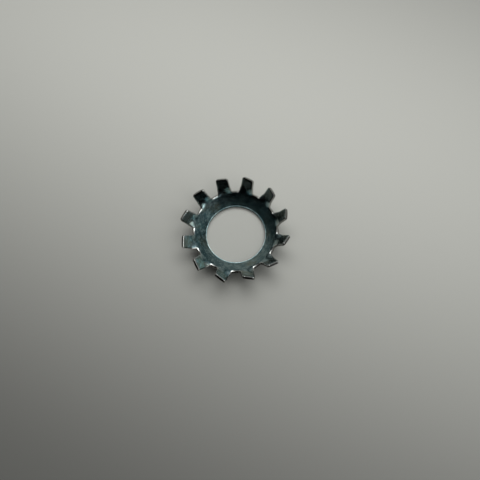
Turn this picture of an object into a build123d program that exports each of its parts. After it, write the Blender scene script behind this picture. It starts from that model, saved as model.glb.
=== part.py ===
from math import asin, cos, degrees, radians, sin
import os

from build123d import *

os.makedirs("parts", exist_ok=True)

# Sheet and bore, in millimetres
bore_diameter = 10.5
sheet_thickness = 0.5

# Dished ring: a plain cone for a right-angled countersink, pierced straight through after it is
# dished. Its small end is faced to a narrow flat land. Its length is measured up the inside.
# Every lean is in degrees, measured from the washer's axis.
wall_lean = 43
wall_length = 2.85
land_width = 0.15

# Teeth: blanked with the ring, then leaned outwards and twisted as the ring is dished
tooth_count = 12
tooth_length = 2.7
tooth_lean = 44
tooth_twist = 26
root_width = 2.45
tip_width = 2.2
forming_length = 0.9
gullet_radius = 0.24
tip_corner_radius = 0.32

# Sections drawn along the stretch of each tooth that is leaned out and twisted
forming_sections = 5

# Spare length of what is cut away later, so that every cut passes clean through
cut_margin = 0.4

# Directions seen in the middle plane of a tooth
wall_direction = Vector(sin(radians(wall_lean)), 0, cos(radians(wall_lean)))
wall_normal = Vector(-cos(radians(wall_lean)), 0, sin(radians(wall_lean)))
tooth_direction = Vector(sin(radians(tooth_lean)), 0, cos(radians(tooth_lean)))

# The root of each tooth is still part of the dished wall, as far as the gullets' corners reach.
# The skirt is the wall with the stretch that these roots are cut from.
root_length = gullet_radius
skirt_length = wall_length + root_length + cut_margin
pitch_angle = 360 / tooth_count

# The bore is as long as the leaning sheet leaves above the land. Its upper edge is where the
# inside of the wall starts.
bore_radius = bore_diameter / 2
bore_length = (sheet_thickness - land_width * cos(radians(wall_lean))) / sin(radians(wall_lean))
wall_foot = Vector(bore_radius, 0, bore_length)
skirt_top = wall_foot + wall_direction * skirt_length
skirt_bottom = skirt_top - wall_normal * sheet_thickness

# The ring is turned from this section. It stands in the middle of a gullet, so that the seam
# of the turned faces misses the teeth.
section_plane = Plane(
    (0, 0, 0),
    x_dir=Vector(1, 0, 0).rotate(Axis.Z, pitch_angle / 2),
    z_dir=Vector(0, -1, 0).rotate(Axis.Z, pitch_angle / 2),
)
with BuildSketch(section_plane) as ring_section:
    with BuildLine():
        Polyline(
            (bore_radius, 0),
            (bore_radius + land_width, 0),
            (skirt_bottom.X, skirt_bottom.Z),
            (skirt_top.X, skirt_top.Z),
            (bore_radius, bore_length),
            close=True,
        )
    make_face()

# The gullets start on this circle in the middle of the sheet, given by its point above +X
gullet_point = wall_foot + wall_direction * wall_length - wall_normal * sheet_thickness / 2

# The wall is a piece of a cone. Laid flat it is a piece of a disc, in which the gullets' floor
# has this radius, and half a pitch, half a root and half a gullet take up these angles.
flat_radius = gullet_point.X / sin(radians(wall_lean))
flat_half_pitch = pitch_angle / 2 * sin(radians(wall_lean))
flat_half_root = degrees(asin(root_width / 2 / flat_radius))
flat_half_gullet = flat_half_pitch - flat_half_root


def wall_plane(turn):
    """Plane on the gullet circle, in the middle of the sheet: X up the wall, Z out of its top."""
    return Plane(
        gullet_point.rotate(Axis.Z, turn),
        x_dir=wall_direction.rotate(Axis.Z, turn),
        z_dir=wall_normal.rotate(Axis.Z, turn),
    )


tooth_turns = [index * pitch_angle for index in range(tooth_count)]
tooth_planes = [wall_plane(turn) for turn in tooth_turns]
gullet_planes = [wall_plane(turn + pitch_angle / 2) for turn in tooth_turns]

# The dished ring with the short roots of its teeth
with BuildPart() as ring:
    add(ring_section.sketch)
    revolve(axis=Axis.Z)
    # Gullets: a curved floor, rounded corners, and sides that run along the teeth
    with BuildSketch(*gullet_planes) as gullet:
        with BuildLine():
            floor = CenterArc((-flat_radius, 0), flat_radius, -flat_half_gullet, 2 * flat_half_gullet)
            right_side = PolarLine(floor @ 0, 2 * skirt_length, -flat_half_pitch)
            left_side = PolarLine(floor @ 1, 2 * skirt_length, flat_half_pitch)
            Line(right_side @ 1, left_side @ 1)
        make_face()
        fillet(gullet.vertices().group_by(Axis.X)[0], radius=gullet_radius)
    extrude(amount=sheet_thickness, both=True, mode=Mode.SUBTRACT)
    # The skirt is trimmed square to each tooth where the gullets' corners end
    with BuildSketch(*tooth_planes):
        with Locations((root_length, 0)):
            Rectangle(skirt_length, root_width + cut_margin, align=(Align.MIN, Align.CENTER))
    extrude(amount=sheet_thickness, both=True, mode=Mode.SUBTRACT)

# The blade goes on from the trimmed end of the root on the +X side
blade_start = gullet_point + wall_direction * root_length
blade_length = tooth_length - root_length
root_end = ring.faces().sort_by_distance(blade_start)[0]

# Middle line of the stretch that is formed: it leaves along the wall and leans out to the tooth
lean_corner = blade_start + wall_direction * forming_length / 2
forming_end = lean_corner + tooth_direction * forming_length / 2
with BuildLine() as forming_line:
    middle_line = Bezier(blade_start, lean_corner, forming_end)


def blade_plane(distance):
    """Plane across the formed stretch: X across it, Y out of its upper face, Z along it."""
    formed = distance / forming_length
    turn = tooth_twist * formed**2 * (3 - 2 * formed)
    middle = middle_line @ formed
    along = middle_line % formed
    across = Vector(0, 1, 0).rotate(Axis((0, 0, 0), along), -turn)
    return Plane(middle, x_dir=across, z_dir=along)


# Each section across the formed stretch is a plain rectangle, narrower towards the tip
forming_step = forming_length / forming_sections
forming_distances = [forming_step * (index + 1) for index in range(forming_sections)]
taper = (root_width - tip_width) / blade_length


def section_width(distance):
    """Width of the blade, so far from its root."""
    return root_width - taper * distance


# Past the formed stretch the blade is flat. Its tip lies on the round edge of the flat blank,
# whose radius is measured along the sheet.
blank_radius = bore_radius + wall_length + tooth_length
tip_half_angle = degrees(asin(tip_width / 2 / blank_radius))
flat_length = blade_length - forming_length
formed_end = blade_plane(forming_length)
flat_plane = Plane(formed_end.origin, x_dir=formed_end.z_dir, z_dir=formed_end.y_dir)

# One twisted blade
with BuildPart() as blade:
    add(root_end)
    for distance in forming_distances:
        with BuildSketch(blade_plane(distance)):
            Rectangle(section_width(distance), sheet_thickness)
    loft()
    with BuildSketch(flat_plane) as flat_outline:
        with BuildLine():
            tip_centre = (flat_length - blank_radius, 0)
            tip = CenterArc(tip_centre, blank_radius, -tip_half_angle, 2 * tip_half_angle)
            flat_start_half = section_width(forming_length) / 2
            flat_start = Line((0, flat_start_half), (0, -flat_start_half))
            Line(flat_start @ 1, tip @ 0)
            Line(tip @ 1, flat_start @ 0)
        make_face()
        fillet(flat_outline.vertices().group_by(Axis.X)[-1], radius=tip_corner_radius)
    extrude(amount=sheet_thickness / 2, both=True)

# The whole washer, with a tooth on +X
with BuildPart() as toothed_washer:
    add(ring.part)
    with PolarLocations(0, tooth_count):
        add(blade.part)

toothed_washer.part.label = "toothed_washer"
export_step(toothed_washer.part, "parts/toothed_washer.step")
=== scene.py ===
# %% [markdown]
# # A dished lock washer with twisted teeth
#
# The object is one piece of spring steel, stamped from sheet half a millimetre thick. A round blank
# with twelve teeth is punched out, and a second tool dishes it and twists each tooth. Then it is
# plated with zinc. This lesson makes it in the same order: a flat blank, the forming, the plating.
#
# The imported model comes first. It is the frame of everything here: same place, same size, metres.

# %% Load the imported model
from math import atan2, cos, degrees, pi, radians, sin, sqrt

import bmesh
import bpy
from mathutils import Matrix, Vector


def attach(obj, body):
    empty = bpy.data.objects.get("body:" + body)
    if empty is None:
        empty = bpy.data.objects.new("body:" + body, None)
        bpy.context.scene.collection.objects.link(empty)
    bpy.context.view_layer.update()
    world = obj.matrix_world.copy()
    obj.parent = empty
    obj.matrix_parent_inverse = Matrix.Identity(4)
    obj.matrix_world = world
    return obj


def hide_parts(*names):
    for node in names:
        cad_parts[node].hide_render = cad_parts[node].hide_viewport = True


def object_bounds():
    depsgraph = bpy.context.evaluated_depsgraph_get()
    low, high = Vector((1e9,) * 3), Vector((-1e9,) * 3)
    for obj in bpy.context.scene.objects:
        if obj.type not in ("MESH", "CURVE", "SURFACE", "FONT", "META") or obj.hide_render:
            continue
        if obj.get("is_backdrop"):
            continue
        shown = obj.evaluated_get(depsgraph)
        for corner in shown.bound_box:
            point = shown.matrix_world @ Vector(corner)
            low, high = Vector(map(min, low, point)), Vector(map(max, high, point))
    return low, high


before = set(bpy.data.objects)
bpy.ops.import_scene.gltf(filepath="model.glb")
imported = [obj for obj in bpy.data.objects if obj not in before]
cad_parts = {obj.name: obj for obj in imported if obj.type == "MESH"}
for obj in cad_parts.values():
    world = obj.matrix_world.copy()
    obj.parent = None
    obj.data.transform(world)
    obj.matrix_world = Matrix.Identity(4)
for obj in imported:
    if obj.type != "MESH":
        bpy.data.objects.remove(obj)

cad_low, cad_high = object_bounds()
millimetre = 0.001
print("packed model, mm:", [round(side / millimetre, 3) for side in cad_high - cad_low])

# %% [markdown]
# ## The camera
#
# The camera stands where the photograph was taken from: about 94 mm from the washer, leaning back
# a little from straight down, and rolled a little about its own axis. The camera is described by
# these few angles rather than by a matrix, because they are what one corrects when a view is off.
#
# `camera_turn` is how far the line of sight is turned from Y, seen from above. The washer is so
# small and near that the near clipping distance has to shrink too.

# %% Camera
scene = bpy.context.scene
camera_distance = 0.0943
camera_field = radians(49)
camera_tilt = radians(16.65)
camera_roll = radians(9.4)
camera_turn = radians(-6.0)
camera_aside = (0.0007, -0.00091)

camera_data = bpy.data.cameras.new("camera")
camera_data.sensor_fit = "HORIZONTAL"
camera_data.angle = camera_field
camera_data.clip_start = 0.002
camera_data.clip_end = 5
camera = bpy.data.objects.new("camera", camera_data)
scene.collection.objects.link(camera)
scene.camera = camera
sight = Matrix.Rotation(camera_turn, 4, "Z") @ Matrix.Rotation(camera_tilt, 4, "X")
rolled_sight = sight @ Matrix.Rotation(-camera_roll, 4, "Z")
standing_off = Matrix.Translation((*camera_aside, camera_distance))
camera.matrix_world = rolled_sight @ standing_off
print("camera, mm:", [round(value / millimetre, 1) for value in camera.matrix_world.translation])

# %% [markdown]
# ## The sizes of the washer
#
# The sizes are the ones that the stamping tools have, in millimetres. Tiny numbers in metres are
# hard to read, and some mesh tools treat points closer than a ten-thousandth of a unit as one, so
# the work is done in millimetres and scaled down at the very end.
#
# Lengths of the wall and the teeth are measured along the sheet. Slopes are measured from level, so
# they are what the lean from the washer's axis leaves of a right angle.

# %% Sizes, in millimetres
teeth = 12
sheet_thickness = 0.5
bore_radius = 5.25
land_width = 0.15
wall_slope = radians(90 - 43)
wall_length = 2.85
tooth_slope = radians(90 - 44)
tooth_length = 2.7
tooth_twist = radians(26)
root_width = 2.45
tip_width = 2.2
gullet_corner = 0.24
tip_corner = 0.36

bore_length = (sheet_thickness - land_width * sin(wall_slope)) / cos(wall_slope)
gullet_distance = wall_length
tip_distance = gullet_distance + tooth_length
blank_radius = bore_radius + tip_distance
gullet_radius = bore_radius + wall_length * cos(wall_slope) + sheet_thickness / 2 * sin(wall_slope)
half_pitch = gullet_radius * pi / teeth
print(f"sheet from bore to tip: {tip_distance:.3f} mm, half a pitch: {half_pitch:.3f} mm")

# %% [markdown]
# ## The flat blank, one tooth of it
#
# The punch cuts the blank flat, so the blank is made flat too, and only one twelfth of it: half a
# gullet, a tooth, and half a gullet. X runs along the sheet from the bore's edge to the tip, and Y
# runs across. On the flat ring Y is measured on the circle where the gullets start.
#
# A drawn outline with true arcs is the plainest way to get the shape. Boolean cuts would give the
# same shape with a messier mesh.

# %% Outline of one twelfth
def arc(centre, radius, start, end, steps):
    """Points along an arc, both ends included, with its angles in radians."""
    angles = [start + (end - start) * step / steps for step in range(steps + 1)]
    return [(centre[0] + radius * cos(angle), centre[1] + radius * sin(angle)) for angle in angles]

half_root = root_width / 2
tip_centre = tip_distance - blank_radius
corner_across = half_root - tip_corner
corner_along = tip_centre + sqrt((blank_radius - tip_corner) ** 2 - corner_across ** 2)
tip_angle = atan2(corner_across, corner_along - tip_centre)
gullet_centre = (gullet_distance + gullet_corner, half_root + gullet_corner)

tip_steps = 3
corner_steps = 6
upper_half = arc((tip_centre, 0), blank_radius, 0, tip_angle, tip_steps)
upper_half += arc((corner_along, corner_across), tip_corner, tip_angle, pi / 2, corner_steps)[1:]
upper_half += arc(gullet_centre, gullet_corner, -pi / 2, -pi, corner_steps)
upper_half += [(gullet_distance, half_pitch), (0, half_pitch)]
lower_half = [(along, -across) for along, across in reversed(upper_half[1:])]
outline = lower_half + upper_half
print("outline points:", len(outline))

# %% [markdown]
# ## Thickness and edges
#
# Before a punch shears through, it pulls the face of the sheet down into a gentle slope. Below that
# slope there is a crisp corner and a plain sheared face, and the far side is left almost sharp. The
# slopes are what catches the light round the gullets and on the tips, so they are real geometry.
#
# A bevel alone would give a quarter round. So a wide bevel is cut first, while the faces are still
# single flat polygons that it can't run into, and then its points are lifted to the shallow curve.
# The bore has no such slope, but a tiny burr that the piercing punch raised on its upper corner.

# %% Solid blank
# Where the pierced bore cuts the sheet's section: its lower corner, the land's outer edge, and
# the foot and the top of the burr on its upper corner
bore_foot = (-bore_length * sin(wall_slope), sheet_thickness / 2 - bore_length * cos(wall_slope))
land_edge = bore_foot[0] + land_width * cos(wall_slope)
burr_width = 0.07
burr_start = burr_width / cos(wall_slope)
burr_top = (burr_start - burr_width * cos(wall_slope),
            sheet_thickness / 2 + burr_width * sin(wall_slope))

blank = bmesh.new()
top = []
bottom = []
for along, across in outline:
    upper_along = along if along > 0 else burr_start
    lower_along = along if along > 0 else land_edge
    top.append(blank.verts.new((upper_along, across, sheet_thickness / 2)))
    bottom.append(blank.verts.new((lower_along, across, -sheet_thickness / 2)))
ends = (half_pitch, -half_pitch)
burr = [blank.verts.new((burr_top[0], across, burr_top[1])) for across in ends]
foot = [blank.verts.new((bore_foot[0], across, bore_foot[1])) for across in ends]

blank.faces.new(top)
blank.faces.new(bottom[::-1])
for here in range(len(outline) - 1):
    blank.faces.new((bottom[here], bottom[here + 1], top[here + 1], top[here]))
bore_rows = [(top[-1], top[0]), burr, foot, (bottom[-1], bottom[0])]
for upper, lower in zip(bore_rows, bore_rows[1:]):
    blank.faces.new((upper[0], lower[0], lower[1], upper[1]))
print("faces of the plain blank:", len(blank.faces))

# %% Finding and rounding edges
same_place = 1e-5

def on_cut(points):
    """True where all these points lie on the same end of the twelfth, where the next one joins."""
    return any(all(abs(point.co.y - end) < same_place for point in points) for end in ends)

def at_bore(edge):
    """True for an edge at the bore's end of the blank."""
    return all(point.co.x < burr_start + same_place for point in edge.verts)

def rim(height):
    """Edges of the punched outline at this height."""
    level = [edge for edge in blank.edges
             if all(abs(point.co.z - height) < same_place for point in edge.verts)]
    return [edge for edge in level if not on_cut(edge.verts) and not at_bore(edge)]

def round_off(edges, width, segments):
    """Round these edges of the blank."""
    bmesh.ops.bevel(blank, geom=edges, offset=width, offset_type="OFFSET", segments=segments,
                    profile=0.5, affect="EDGES", clamp_overlap=False)

between = [face for face in blank.faces if on_cut(face.verts)]
bmesh.ops.delete(blank, geom=between, context="FACES")
print("faces opened between two twelfths:", len(between))

# %% Rolled upper edges
roll_width = 0.32
tip_roll = 0.08
gullet_roll = 0.09
roll_segments = 5

# On the way from a gullet to the tip the roll gets shallower over this length, up to this place
roll_change_length = 0.5
roll_change_end = gullet_distance + 0.6

def roll_depth(along):
    """How deep the upper face is pulled down, so far along the sheet."""
    near_gullet = min(1, max(0, roll_change_end - along) / roll_change_length)
    return tip_roll + near_gullet * (gullet_roll - tip_roll)

# The curve is a parabola, level where it leaves the face and steepest at the corner. The points of
# the bore's end lie nearer than past_bore, and they stay where they are.
past_bore = 1
round_off(rim(sheet_thickness / 2), roll_width, roll_segments)
for point in blank.verts:
    drop = sheet_thickness / 2 - point.co.z
    if point.co.x > past_bore and 0 < drop < roll_width + same_place:
        share = 1 - (1 - drop / roll_width) ** 2
        point.co.z = sheet_thickness / 2 - roll_depth(point.co.x) * share
print(f"greatest slope of the roll, degrees: {degrees(atan2(2 * gullet_roll, roll_width)):.0f}")

# %% Sharp edges at the bore and below
sharp_width = 0.04
sharp_segments = 2
bore_edges = [edge for edge in blank.edges
              if at_bore(edge) and not on_cut(edge.verts) and top[0] not in edge.verts]
round_off(bore_edges, sharp_width / 2, sharp_segments)
round_off(rim(-sheet_thickness / 2), sharp_width, sharp_segments)
print("faces with all edges done:", len(blank.faces))

# %% [markdown]
# ## Lines to bend along
#
# A polygon without points inside it can't bend. The blank is sliced across its length where it will
# bend and twist, and across its width where it will curve round, more closely where that is tight.
# The slices keep a little away from the rolled edges that run beside them, because a sliver between
# two lines shades badly. Only the roots of the teeth have three slices within a roll, because the
# twist starts there.

# %% Slices
def spread(start, end, count):
    """Evenly spaced numbers from start to end, both included."""
    return [start + (end - start) * step / (count - 1) for step in range(count)]

def slice_blank(place, direction):
    """Cut all faces of the blank where this plane meets them, and keep both sides."""
    everything = blank.verts[:] + blank.edges[:] + blank.faces[:]
    bmesh.ops.bisect_plane(blank, geom=everything, dist=same_place, plane_co=place, plane_no=direction)

# Rows of slices, each from a little past one bend or edge to a little before the next
wall_slices = spread(0.2, gullet_distance - roll_width - 0.04, 13)
root_slices = spread(gullet_distance - 0.25, gullet_distance - 0.09, 3)
tooth_slices = spread(gullet_distance + 0.05, tip_distance - roll_width - 0.1, 18)
middle_slices = spread(-half_root + roll_width + 0.05, half_root - roll_width - 0.05, 12)
gullet_slices = spread(half_root + 0.09, half_pitch - 0.16, 4)
other_gullet_slices = [-across for across in gullet_slices]

for along in wall_slices + root_slices + tooth_slices:
    slice_blank((along, 0, 0), (1, 0, 0))
for across in middle_slices + other_gullet_slices + gullet_slices:
    slice_blank((0, across, 0), (0, 1, 0))
bmesh.ops.triangulate(blank, faces=[face for face in blank.faces if len(face.verts) > 4])

blank_mesh = bpy.data.meshes.new("blank_twelfth")
blank.to_mesh(blank_mesh)
blank.free()
blank_piece = bpy.data.objects.new("blank_twelfth", blank_mesh)
scene.collection.objects.link(blank_piece)
print("faces of the sliced blank:", len(blank_mesh.polygons))

# %% [markdown]
# ## Writing formulas with nodes
#
# The forming tool follows a rule, so it can be a Geometry Nodes tree: every point of the blank
# knows how far along the sheet it is, and from that follows where it goes. Such a rule is a
# formula, and a formula built node by node is hard to read. This small class lets Python's own
# plus, minus, times and divide make the Math nodes.

# %% Numbers that are worked out by nodes
class Field:
    """A number on a node's socket, so that a formula can be written as one."""

    def __init__(self, tree, socket):
        self.tree = tree
        self.socket = socket

    def __add__(self, other):
        return calculate("ADD", self, other)

    def __sub__(self, other):
        return calculate("SUBTRACT", self, other)

    def __mul__(self, other):
        return calculate("MULTIPLY", self, other)

    def __truediv__(self, other):
        return calculate("DIVIDE", self, other)

    def __rsub__(self, other):
        return calculate("SUBTRACT", other, self)

    __radd__ = __add__
    __rmul__ = __mul__

def feed(tree, socket, value):
    """Link a field to a socket, or set a plain value on it."""
    if isinstance(value, Field):
        tree.links.new(value.socket, socket)
    else:
        socket.default_value = value

def calculate(operation, *values):
    """One Math node, as a field."""
    tree = next(value.tree for value in values if isinstance(value, Field))
    node = tree.nodes.new("ShaderNodeMath")
    node.operation = operation
    for socket, value in zip(node.inputs, values):
        feed(tree, socket, value)
    return Field(tree, node.outputs["Value"])

def eased(value, start, end, low=0.0, high=1.0):
    """Goes softly from low to high while the value goes from start to end."""
    node = value.tree.nodes.new("ShaderNodeMapRange")
    node.interpolation_type = "SMOOTHSTEP"
    for name, number in (("Value", value), ("From Min", start), ("From Max", end),
                         ("To Min", low), ("To Max", high)):
        feed(value.tree, node.inputs[name], number)
    return Field(value.tree, node.outputs["Result"])

def blended(share, first, second):
    """First where the share is 0, second where it is 1."""
    return first + share * (second - first)

print("signs that make a node between two fields: + - * /")

# %% [markdown]
# ## The forming tool
#
# The tree takes the blank, makes a copy of it for each tooth, and moves every point to its place.
# Its sizes are named inputs, so that another washer of the family is a matter of other numbers.
#
# - The copies are numbered, because no two teeth of a real washer are bent quite alike: each gets
#   its own small error in lean, twist and place, from a fixed seed.
# - Two places are worked out for each point: one on the cone, right for the ring, and one on a
#   flat, right for a tooth. They are blended where the tooth grows out of the ring.
# - The errors and the twist fade to nothing in the middle of each gullet, so the copies meet there
#   and can be merged into one closed skin.
# - The skin is shaded smooth, apart from edges that turn by more than the crisp angle. They are the
#   corners that the punch left.

# %% Tree with its inputs
forming = bpy.data.node_groups.new("form_the_washer", "GeometryNodeTree")
forming.interface.new_socket("Blank", in_out="INPUT", socket_type="NodeSocketGeometry")
forming.interface.new_socket("Washer", in_out="OUTPUT", socket_type="NodeSocketGeometry")
sizes = {
    "Bore radius": bore_radius,
    "Bore length": bore_length,
    "Sheet thickness": sheet_thickness,
    "Wall slope": wall_slope,
    "Gullet distance": gullet_distance,
    "Gullet radius": gullet_radius,
    "Gullet corner": gullet_corner,
    "Half pitch": half_pitch,
    "Half root": half_root,
    "Tooth slope": tooth_slope,
    "Tooth length": tooth_length,
    "Tooth twist": tooth_twist,
    "Taper": 1 - tip_width / root_width,
    "Forming length": 0.9,
    "Twist reach": 0.3,
    "Lean error": radians(1.6),
    "Twist error": radians(2.5),
    "Turn error": radians(1.2),
    "Crisp angle": radians(40),
}
sockets = {}
for name, value in sizes.items():
    sockets[name] = forming.interface.new_socket(name, in_out="INPUT", socket_type="NodeSocketFloat")
    sockets[name].default_value = value
error_seed = 152
for name, value in (("Teeth", teeth), ("Seed", error_seed)):
    sockets[name] = forming.interface.new_socket(name, in_out="INPUT", socket_type="NodeSocketInt")
    sockets[name].default_value = value
finish_socket = forming.interface.new_socket("Finish", in_out="INPUT", socket_type="NodeSocketMaterial")
given = forming.nodes.new("NodeGroupInput")
print("inputs of the tree:", len(sockets) + 2)

# %% Numbered copies
def size(name):
    """An input of the forming tree, as a field."""
    return Field(forming, given.outputs[name])

def step(kind, geometry, **settings):
    """A node that changes the geometry coming from another node."""
    node = forming.nodes.new(kind)
    for name, value in settings.items():
        setattr(node, name, value)
    forming.links.new(geometry, node.inputs[0])
    return node

def store(geometry, name, kind, domain, value):
    """Keep a value on the geometry under a name."""
    node = step("GeometryNodeStoreNamedAttribute", geometry, data_type=kind, domain=domain)
    node.inputs["Name"].default_value = name
    forming.links.new(value, node.inputs["Value"])
    return node.outputs["Geometry"]

position = forming.nodes.new("GeometryNodeInputPosition")
normal = forming.nodes.new("GeometryNodeInputNormal")
normal_parts = forming.nodes.new("ShaderNodeSeparateXYZ")
forming.links.new(normal.outputs["Normal"], normal_parts.inputs[0])
facing_side = 1 - calculate("ABSOLUTE", Field(forming, normal_parts.outputs["Z"]))

marked = store(given.outputs["Blank"], "cut_edge", "FLOAT", "POINT", facing_side.socket)
marked = store(marked, "blank_place", "FLOAT_VECTOR", "POINT", position.outputs["Position"])
single = step("GeometryNodeGeometryToInstance", marked)
copies = step("GeometryNodeDuplicateElements", single.outputs["Instances"], domain="INSTANCE")
forming.links.new(given.outputs["Teeth"], copies.inputs["Amount"])
numbered = store(copies.outputs["Geometry"], "tooth_number", "INT", "INSTANCE",
                 copies.outputs["Duplicate Index"])
loose = step("GeometryNodeRealizeInstances", numbered)
print("nodes so far:", len(forming.nodes))

# %% Place on the blank, and the errors of each tooth
tooth_number_node = forming.nodes.new("GeometryNodeInputNamedAttribute")
tooth_number_node.data_type = "INT"
tooth_number_node.inputs["Name"].default_value = "tooth_number"
tooth_number = Field(forming, tooth_number_node.outputs["Attribute"])

def error(name, shift):
    """A random error from minus to plus this input, the same all over a tooth."""
    node = forming.nodes.new("FunctionNodeRandomValue")
    node.data_type = "FLOAT"
    forming.links.new(tooth_number.socket, node.inputs["ID"])
    feed(forming, node.inputs["Seed"], size("Seed") + shift)
    lowest = node.inputs[2]
    highest = node.inputs[3]
    feed(forming, lowest, 0 - size(name))
    feed(forming, highest, size(name))
    return Field(forming, node.outputs[1])

position_parts = forming.nodes.new("ShaderNodeSeparateXYZ")
forming.links.new(position.outputs["Position"], position_parts.inputs[0])
along = Field(forming, position_parts.outputs["X"])
across = Field(forming, position_parts.outputs["Y"])
height = Field(forming, position_parts.outputs["Z"])

on_tooth = eased(calculate("ABSOLUTE", across), size("Half pitch"), size("Half root"))
past_gullet = along - size("Gullet distance")
past_root = past_gullet - size("Gullet corner")

# The error in lean grows over this stretch of the sheet, measured from the gullets' floor
lean_error_stretch = (-0.5, 0.6)
error_share = on_tooth * eased(past_gullet, *lean_error_stretch)
print("nodes so far:", len(forming.nodes))

# %% Middle line of the sheet
own_slope = size("Tooth slope") + error_share * error("Lean error", 0)
leaning_part = calculate("MINIMUM", calculate("MAXIMUM", past_root, 0), size("Forming length"))
leaned = leaning_part / size("Forming length")
straight_part = calculate("MAXIMUM", past_root - size("Forming length"), 0)

# Where the sheet gradually leans out, on average half of the lean is there. Past that all of it is.
lean_run = leaned * leaning_part * 0.5 + straight_part
wall_cosine = calculate("COSINE", size("Wall slope"))
wall_sine = calculate("SINE", size("Wall slope"))
lean_out = lean_run * (calculate("COSINE", own_slope) - wall_cosine)
lean_up = lean_run * (calculate("SINE", own_slope) - wall_sine)
slope = size("Wall slope") + leaned * (own_slope - size("Wall slope"))

half_sheet = size("Sheet thickness") * 0.5
middle_out = size("Bore radius") + half_sheet * wall_sine + along * wall_cosine + lean_out
middle_up = size("Bore length") - half_sheet * wall_cosine + along * wall_sine + lean_up
print("nodes so far:", len(forming.nodes))

# %% Twist, and the place on the cone and on the flat
twist_start = 0 - size("Twist reach")
twist_end = size("Gullet corner") + size("Forming length")
twist_share = eased(past_gullet, twist_start, twist_end) * on_tooth
twist = twist_share * (size("Tooth twist") + error("Twist error", 1))
narrowed = 1 - size("Taper") * calculate("MAXIMUM", past_root, 0) / size("Tooth length")
aside = calculate("MAXIMUM", past_gullet, 0) * error("Turn error", 2)
flat_across = across * narrowed + aside

twist_sine = calculate("SINE", twist)
twist_cosine = calculate("COSINE", twist)
sideways = flat_across * twist_cosine + height * twist_sine
outwards = height * twist_cosine - flat_across * twist_sine
reach = middle_out - outwards * calculate("SINE", slope)
rise = middle_up + outwards * calculate("COSINE", slope)

# Over this stretch, measured from the gullets' floor, the curved ring goes over to the flat tooth
flat_stretch = (-0.1, 0.9)
ring_turn = sideways / size("Gullet radius")
flatness = eased(past_gullet, *flat_stretch) * on_tooth
place_out = blended(flatness, reach * calculate("COSINE", ring_turn), reach)
place_aside = blended(flatness, reach * calculate("SINE", ring_turn), sideways)
print("nodes so far:", len(forming.nodes))

# %% Round the ring, merge, and finish the tree
merge_distance = 0.002
tooth_turn = tooth_number * (2 * pi) / size("Teeth")
turn_cosine = calculate("COSINE", tooth_turn)
turn_sine = calculate("SINE", tooth_turn)
formed_place = forming.nodes.new("ShaderNodeCombineXYZ")
feed(forming, formed_place.inputs["X"], place_out * turn_cosine - place_aside * turn_sine)
feed(forming, formed_place.inputs["Y"], place_out * turn_sine + place_aside * turn_cosine)
feed(forming, formed_place.inputs["Z"], rise)

moved = step("GeometryNodeSetPosition", loose.outputs["Geometry"])
forming.links.new(formed_place.outputs["Vector"], moved.inputs["Position"])
merged = step("GeometryNodeMergeByDistance", moved.outputs["Geometry"])
merged.inputs["Distance"].default_value = merge_distance
smooth = step("GeometryNodeSetShadeSmooth", merged.outputs["Geometry"])
angle_node = forming.nodes.new("GeometryNodeInputMeshEdgeAngle")
edge_angle = Field(forming, angle_node.outputs["Unsigned Angle"])
crisp = step("GeometryNodeSetShadeSmooth", smooth.outputs["Geometry"], domain="EDGE")
crisp.inputs["Shade Smooth"].default_value = False
feed(forming, crisp.inputs["Selection"], calculate("GREATER_THAN", edge_angle, size("Crisp angle")))
scaled = step("GeometryNodeTransform", crisp.outputs["Geometry"])
scaled.inputs["Scale"].default_value = (millimetre, millimetre, millimetre)
real = step("GeometryNodeRealizeInstances", scaled.outputs["Geometry"])
finished = step("GeometryNodeSetMaterial", real.outputs["Geometry"])
forming.links.new(given.outputs["Finish"], finished.inputs["Material"])
result = forming.nodes.new("NodeGroupOutput")
forming.links.new(finished.outputs["Geometry"], result.inputs["Washer"])
print("nodes of the forming tree:", len(forming.nodes))

# %% [markdown]
# ## The plating
#
# Zinc plating is a thin grey metal skin, sealed by a bath that leaves a cloudy blue film. It is
# greener towards the tips and greyer in small patches. Fine marks run round the washer, where the
# sheet slid over the tool. The rolled edges are rubbed bare and shiny, and the sheared faces below
# them are darker.
#
# A photograph of real plating could be wrapped round the washer, but noise at a few scales looks as
# good at any distance and has no seams. Two attributes that the blank brought along say where the
# edges are: how steep each point was on the flat blank, and where it lay there.

# %% An empty material, and helpers for shader nodes
plating = bpy.data.materials.new("zinc_plate_cloudy")
plating.use_nodes = True
tree = plating.node_tree
tree.nodes.clear()

def add_node(tree, kind, **settings):
    """A shader node with these settings."""
    node = tree.nodes.new(kind)
    for name, value in settings.items():
        setattr(node, name, value)
    return node

def noise(tree, place, per_mm, detail, roughness=0.5):
    """A cloudy pattern with so many waves per millimetre, as a field from 0 to 1."""
    node = add_node(tree, "ShaderNodeTexNoise")
    tree.links.new(place, node.inputs["Vector"])
    node.inputs["Scale"].default_value = per_mm / millimetre
    node.inputs["Detail"].default_value = detail
    node.inputs["Roughness"].default_value = roughness
    return Field(tree, node.outputs["Fac"])

def mixed(tree, share, first, second):
    """A colour between two colours, each a plain colour or a socket."""
    node = add_node(tree, "ShaderNodeMix", data_type="RGBA")
    feed(tree, node.inputs[0], share)
    for socket, colour in ((node.inputs[6], first), (node.inputs[7], second)):
        if isinstance(colour, tuple):
            socket.default_value = (*colour, 1)
        else:
            tree.links.new(colour, socket)
    return node.outputs[2]

print("nodes of the plating, to begin with:", len(tree.nodes))

# %% Patterns in the plating
object_place = add_node(tree, "ShaderNodeTexCoord").outputs["Object"]
edge_node = add_node(tree, "ShaderNodeAttribute", attribute_name="cut_edge")
cut_edge = Field(tree, edge_node.outputs["Fac"])

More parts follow.
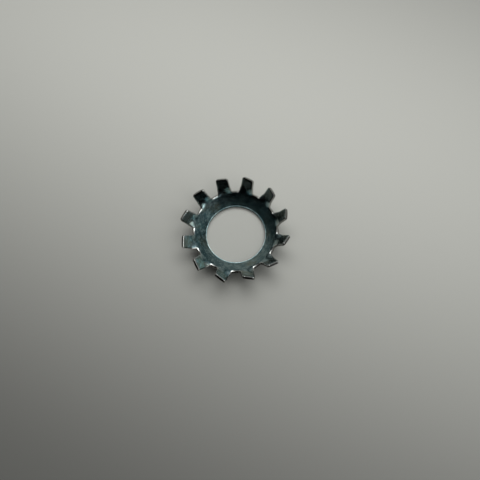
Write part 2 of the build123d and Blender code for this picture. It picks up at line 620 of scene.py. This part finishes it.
place_node = add_node(tree, "ShaderNodeAttribute", attribute_name="blank_place")
place_parts = add_node(tree, "ShaderNodeSeparateXYZ")
tree.links.new(place_node.outputs["Vector"], place_parts.inputs[0])
sheet_along = Field(tree, place_parts.outputs["X"])

cloud = noise(tree, object_place, per_mm=0.45, detail=3)
patch = noise(tree, object_place, per_mm=1.7, detail=4, roughness=0.7)
grain = noise(tree, object_place, per_mm=9, detail=3, roughness=0.6)

# The marks are noise on a place that changes quickly along the sheet, but hardly round the washer
object_parts = add_node(tree, "ShaderNodeSeparateXYZ")
tree.links.new(object_place, object_parts.inputs[0])
place_x = Field(tree, object_parts.outputs["X"])
place_y = Field(tree, object_parts.outputs["Y"])
from_axis = calculate("SQRT", place_x * place_x + place_y * place_y)
squeezed_radius = 1.2 * millimetre
squeezed = add_node(tree, "ShaderNodeCombineXYZ")
feed(tree, squeezed.inputs["X"], place_x / from_axis * squeezed_radius)
feed(tree, squeezed.inputs["Y"], place_y / from_axis * squeezed_radius)
feed(tree, squeezed.inputs["Z"], sheet_along * millimetre)
marks = noise(tree, squeezed.outputs["Vector"], per_mm=4, detail=2)
print("nodes of the patterns:", len(tree.nodes))

# %% Colours of the plating
blue = (0.09, 0.155, 0.17)
green = (0.155, 0.185, 0.16)
grey = (0.25, 0.335, 0.34)
bare = (0.45, 0.46, 0.44)
sheared = (0.17, 0.17, 0.16)

# Noise stays near a half, so each pair of numbers round it says how hard the edge of a patch is
towards_tip = eased(sheet_along, 2.6, 4.4)
greener = eased(cloud + 0.22 * towards_tip, 0.48, 0.70)
greyer = eased(0.7 * patch + 0.3 * marks, 0.45, 0.61)

# A flat face of the blank has a cut_edge of 0 and a face square to it has 1. The bore isn't rolled.
past_bore_edge = eased(sheet_along, 0.5, 1.5)
on_roll = eased(cut_edge, 0.0, 0.1) * past_bore_edge
on_sheared_face = eased(cut_edge, 0.4, 0.8)

colour = mixed(tree, greener, blue, green)
colour = mixed(tree, greyer, colour, grey)
colour = mixed(tree, on_roll, colour, bare)
colour = mixed(tree, on_sheared_face, colour, sheared)
print("nodes with the colours:", len(tree.nodes))

# %% Shader of the plating
shader = add_node(tree, "ShaderNodeBsdfPrincipled")
shader.inputs["Metallic"].default_value = 1
tree.links.new(colour, shader.inputs["Base Color"])
film_roughness = 0.05 + 0.15 * patch + 0.08 * grain + 0.08 * marks
sheared_roughness = 0.16
roughness = blended(on_sheared_face, film_roughness, sheared_roughness)
feed(tree, shader.inputs["Roughness"], roughness)

bump_strength = 0.9
bump_height = 0.02 * millimetre
bump = add_node(tree, "ShaderNodeBump")
bump.inputs["Strength"].default_value = bump_strength
bump.inputs["Distance"].default_value = bump_height
feed(tree, bump.inputs["Height"], patch + 0.5 * grain + 0.4 * marks)
tree.links.new(bump.outputs["Normal"], shader.inputs["Normal"])
output = add_node(tree, "ShaderNodeOutputMaterial")
tree.links.new(shader.outputs["BSDF"], output.inputs["Surface"])
print("nodes of the plating:", len(tree.nodes))

# %% [markdown]
# ## The press stroke
#
# The blank gets the tree as a modifier, and what comes out is kept as a plain mesh. The modifier's
# inputs are set before it runs for the first time, so it runs only once.
#
# A real washer is one closed skin, and so is this mesh: every edge has exactly two faces. The volume
# is a second check, because it would come out negative if the faces looked inwards.

# %% Form the washer
blank_mesh.materials.append(plating)
modifier = blank_piece.modifiers.new("forming", "NODES")
modifier.node_group = forming
for name, socket in sockets.items():
    modifier[socket.identifier] = sizes.get(name, socket.default_value)
modifier[finish_socket.identifier] = plating

graph = bpy.context.evaluated_depsgraph_get()
washer_mesh = bpy.data.meshes.new_from_object(blank_piece.evaluated_get(graph))
washer_mesh.name = "toothed_washer_plated"
bpy.data.objects.remove(blank_piece)
washer = bpy.data.objects.new("toothed_washer_plated", washer_mesh)
scene.collection.objects.link(washer)

check = bmesh.new()
check.from_mesh(washer_mesh)
open_edges = [edge for edge in check.edges if len(edge.link_faces) != 2]
print("faces:", len(check.faces), "open or doubled edges:", len(open_edges),
      "volume, mm3:", round(check.calc_volume(signed=True) / millimetre ** 3, 2))
check.free()

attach(washer, "root")
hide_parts("toothed_washer")

# %% [markdown]
# ## The table
#
# The washer lies on a smooth pale table. A long pool of light beyond the washer, falling off from
# there, is painted light in the table's colour, so the light on the washer stays plain. The table's
# face is a hair lower than the washer's lowest one, because two faces in one plane would flicker.

# %% Table
half_table = 0.6
table_top = -0.005 * millimetre
table_corners = [(-half_table, -half_table, table_top), (half_table, -half_table, table_top),
                 (half_table, half_table, table_top), (-half_table, half_table, table_top)]
table_mesh = bpy.data.meshes.new("table")
table_mesh.from_pydata(table_corners, [], [(0, 1, 2, 3)])
table = bpy.data.objects.new("table", table_mesh)
scene.collection.objects.link(table)
table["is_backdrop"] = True
print("table, mm across:", round(2 * half_table / millimetre))

# %% Paint of the table
paint = bpy.data.materials.new("table_painted_light_pool")
paint.use_nodes = True
table_mesh.materials.append(paint)
tree = paint.node_tree
tree.nodes.clear()
table_place = add_node(tree, "ShaderNodeTexCoord").outputs["Object"]
table_parts = add_node(tree, "ShaderNodeSeparateXYZ")
tree.links.new(table_place, table_parts.inputs[0])

# The painted pool of light: its middle and half sizes in millimetres, its direction, and how bright
# the paint is in the pool's middle and outside it, where the painted light has fallen off
painted_pool_x = 12
painted_pool_y = 29
painted_pool_turn = radians(51.4)
painted_pool_half_width = 87.5
painted_pool_half_length = 245
painted_pool_tone = 0.49
painted_falloff_tone = 0.097
from_painted_pool_x = Field(tree, table_parts.outputs["X"]) / millimetre - painted_pool_x
from_painted_pool_y = Field(tree, table_parts.outputs["Y"]) / millimetre - painted_pool_y
short_way = (cos(painted_pool_turn) * from_painted_pool_x + sin(painted_pool_turn) * from_painted_pool_y) / painted_pool_half_width
long_way = (cos(painted_pool_turn) * from_painted_pool_y - sin(painted_pool_turn) * from_painted_pool_x) / painted_pool_half_length
from_painted_pool = calculate("SQRT", short_way * short_way + long_way * long_way)
# Painted light: the table's colour is brightest in the pool's middle and falls off outwards
painted_light_level = eased(from_painted_pool, 0, 1, painted_pool_tone, painted_falloff_tone)

# The paint is a warm grey, with a little less red and clearly less blue than green
red_share = 0.99
blue_share = 0.925
tone = add_node(tree, "ShaderNodeCombineColor")
feed(tree, tone.inputs["Red"], painted_light_level * red_share)
feed(tree, tone.inputs["Green"], painted_light_level)
feed(tree, tone.inputs["Blue"], painted_light_level * blue_share)
table_shader = add_node(tree, "ShaderNodeBsdfPrincipled")
table_shader.inputs["Roughness"].default_value = 0.6
table_shader.inputs["Specular IOR Level"].default_value = 0.2
tree.links.new(tone.outputs["Color"], table_shader.inputs["Base Color"])
output = add_node(tree, "ShaderNodeOutputMaterial")
tree.links.new(table_shader.outputs["BSDF"], output.inputs["Surface"])
print("nodes of the table's paint:", len(tree.nodes))

# %% [markdown]
# ## The room's light
#
# Polished metal shows what surrounds it, so what counts is where the room is bright, where it is
# dark, and how soft the borders are. Lamps could do it, but a world that works out its brightness
# from the direction of a ray says it in three lines.
#
# A window stands high towards the far right, a small lamp nearer on the right, and a weak glow comes
# from the whole right side. The near left is dark, which is what makes the ends of the teeth black
# there.

# %% Light
world = bpy.data.worlds.new("soft_room")
scene.world = world
world.use_nodes = True
tree = world.node_tree
tree.nodes.clear()
ray = add_node(tree, "ShaderNodeTexCoord").outputs["Generated"]
ray_parts = add_node(tree, "ShaderNodeSeparateXYZ")
tree.links.new(ray, ray_parts.inputs[0])
ray_x = Field(tree, ray_parts.outputs["X"])
ray_y = Field(tree, ray_parts.outputs["Y"])
ray_z = Field(tree, ray_parts.outputs["Z"])

def towards(direction):
    """How nearly a ray runs this way, as a field: 1 along it, 0 square to it."""
    return direction[0] * ray_x + direction[1] * ray_y + direction[2] * ray_z

# Each light comes from one way, brightens over a range of nearness to it, and has a strength. The
# window also has a soft sill, about 45 degrees above the table.
window_way = (0.509, 0.831, 0.223)
window_range = (0.09, 1.07)
window_sill = (0.62, 0.80)
window_strength = 7.4
lamp_way = (0.430, -0.513, 0.743)
lamp_range = (0.9, 0.99)
lamp_strength = 2
glow_way = (0.85, 0.5, 0.15)
glow_range = (-0.6, 1.5)
glow_strength = 0.5

window = eased(towards(window_way), *window_range) * eased(ray_z, *window_sill) * window_strength
lamp = eased(towards(lamp_way), *lamp_range) * lamp_strength
glow = eased(towards(glow_way), *glow_range) * glow_strength
background = add_node(tree, "ShaderNodeBackground")
feed(tree, background.inputs["Strength"], window + lamp + glow)
background.inputs["Color"].default_value = (1, 1, 1, 1)
output = add_node(tree, "ShaderNodeOutputWorld")
tree.links.new(background.outputs["Background"], output.inputs["Surface"])
scene.view_settings.view_transform = "Standard"
print("nodes of the room:", len(tree.nodes))

# %% [markdown]
# ## Sizes at the end
#
# The room left between the finished washer's box and the imported model's box is printed for each
# side, low corner first. The finished washer has to stay inside the box of the imported model.

# %% Sizes of the imported and of the visual model
low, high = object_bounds()
spare = (*(low - cad_low), *(cad_high - high))
print("room inside the box, mm:", [round(value / millimetre, 3) for value in spare])
